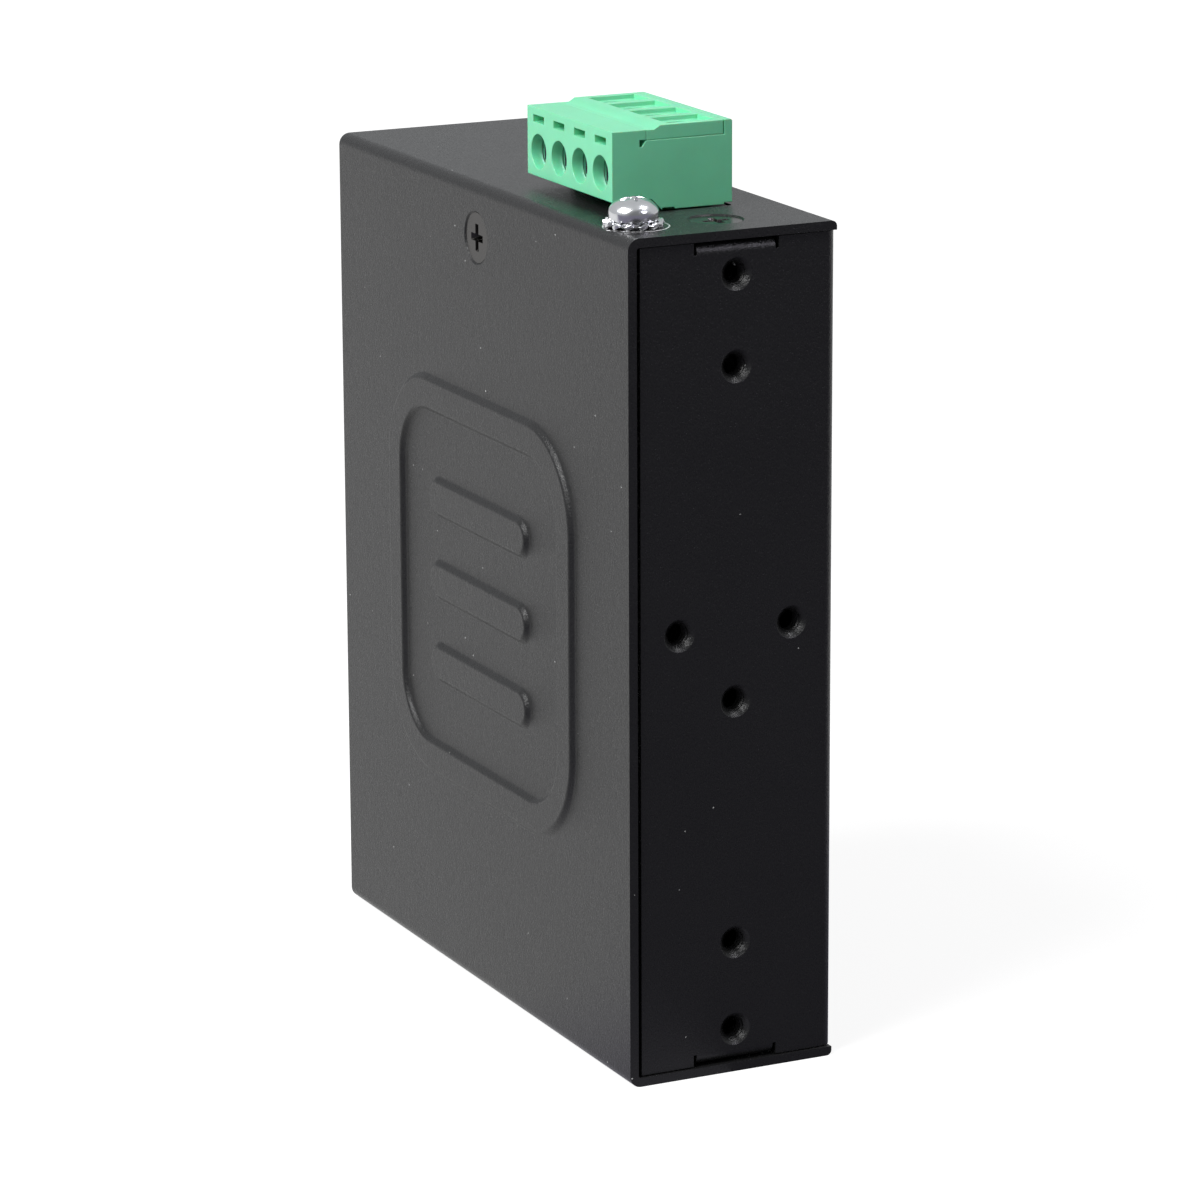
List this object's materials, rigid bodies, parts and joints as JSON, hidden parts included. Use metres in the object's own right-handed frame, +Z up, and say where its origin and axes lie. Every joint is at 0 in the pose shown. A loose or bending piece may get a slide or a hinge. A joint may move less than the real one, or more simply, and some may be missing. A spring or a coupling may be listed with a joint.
{
  "type": "industrial ethernet switch",
  "caption": "Slim upright network switch in a folded black steel case, with stacked sockets in front, tapped holes at the back and a green plug-in power terminal on top.",
  "frame": {"origin": "middle of the case's underside", "axes": "+Z up, -Y towards the side with the ports, +Y towards the mounting rail, +X towards the pressed broad side"},
  "size_m": [0.0251, 0.0754, 0.1012],
  "materials": {
    "black_sheet": "fine black powder coat",
    "black_screw": "black plated steel",
    "bright_steel": "bright zinc plate",
    "green_plastic": "moulded polyamide",
    "tinned_brass": "tin plated",
    "shield_metal": "nickel plated sheet",
    "black_plastic": "moulded",
    "gold_contact": "gold plated",
    "board_green": "solder mask",
    "light_green": "clear tinted",
    "light_amber": "clear tinted",
    "light_clear": "clear",
    "can_aluminium": "drawn can",
    "ferrite": "pressed ferrite"
  },
  "bodies": {
    "root": {"board_screws": "bright_steel", "board_standoffs": "bright_steel", "capacitors": "can_aluminium", "chassis": "black_sheet", "circuit_board": "board_green", "clamp_screws": "bright_steel", "converter_chips": "black_plastic", "cover": "black_sheet", "cover_screws": "black_screw", "crystal": "can_aluminium", "fuses": "black_plastic", "ground_nut": "bright_steel", "ground_screw": "bright_steel", "ground_washer": "bright_steel", "header_pins": "tinned_brass", "inductors": "ferrite", "jack_contacts_1": "gold_contact", "jack_contacts_2": "gold_contact", "jack_contacts_3": "gold_contact", "jack_contacts_4": "gold_contact", "jack_contacts_5": "gold_contact", "jack_housing_1": "black_plastic", "jack_housing_2": "black_plastic", "jack_housing_3": "black_plastic", "jack_housing_4": "black_plastic", "jack_housing_5": "black_plastic", "jack_shield_1": "shield_metal", "jack_shield_2": "shield_metal", "jack_shield_3": "shield_metal", "jack_shield_4": "shield_metal", "jack_shield_5": "shield_metal", "light_pipes": "light_clear", "line_transformers": "black_plastic", "link_lights": "light_green", "memory_chip": "black_plastic", "plug_cap": "green_plastic", "plug_housing": "green_plastic", "plug_sockets": "tinned_brass", "power_lamps": "light_green", "side_post": "bright_steel", "speed_lights": "light_amber", "surge_diodes": "black_plastic", "switch_chip": "black_plastic", "terminal_header": "green_plastic", "wire_clamps": "bright_steel"}
  },
  "joints": []
}
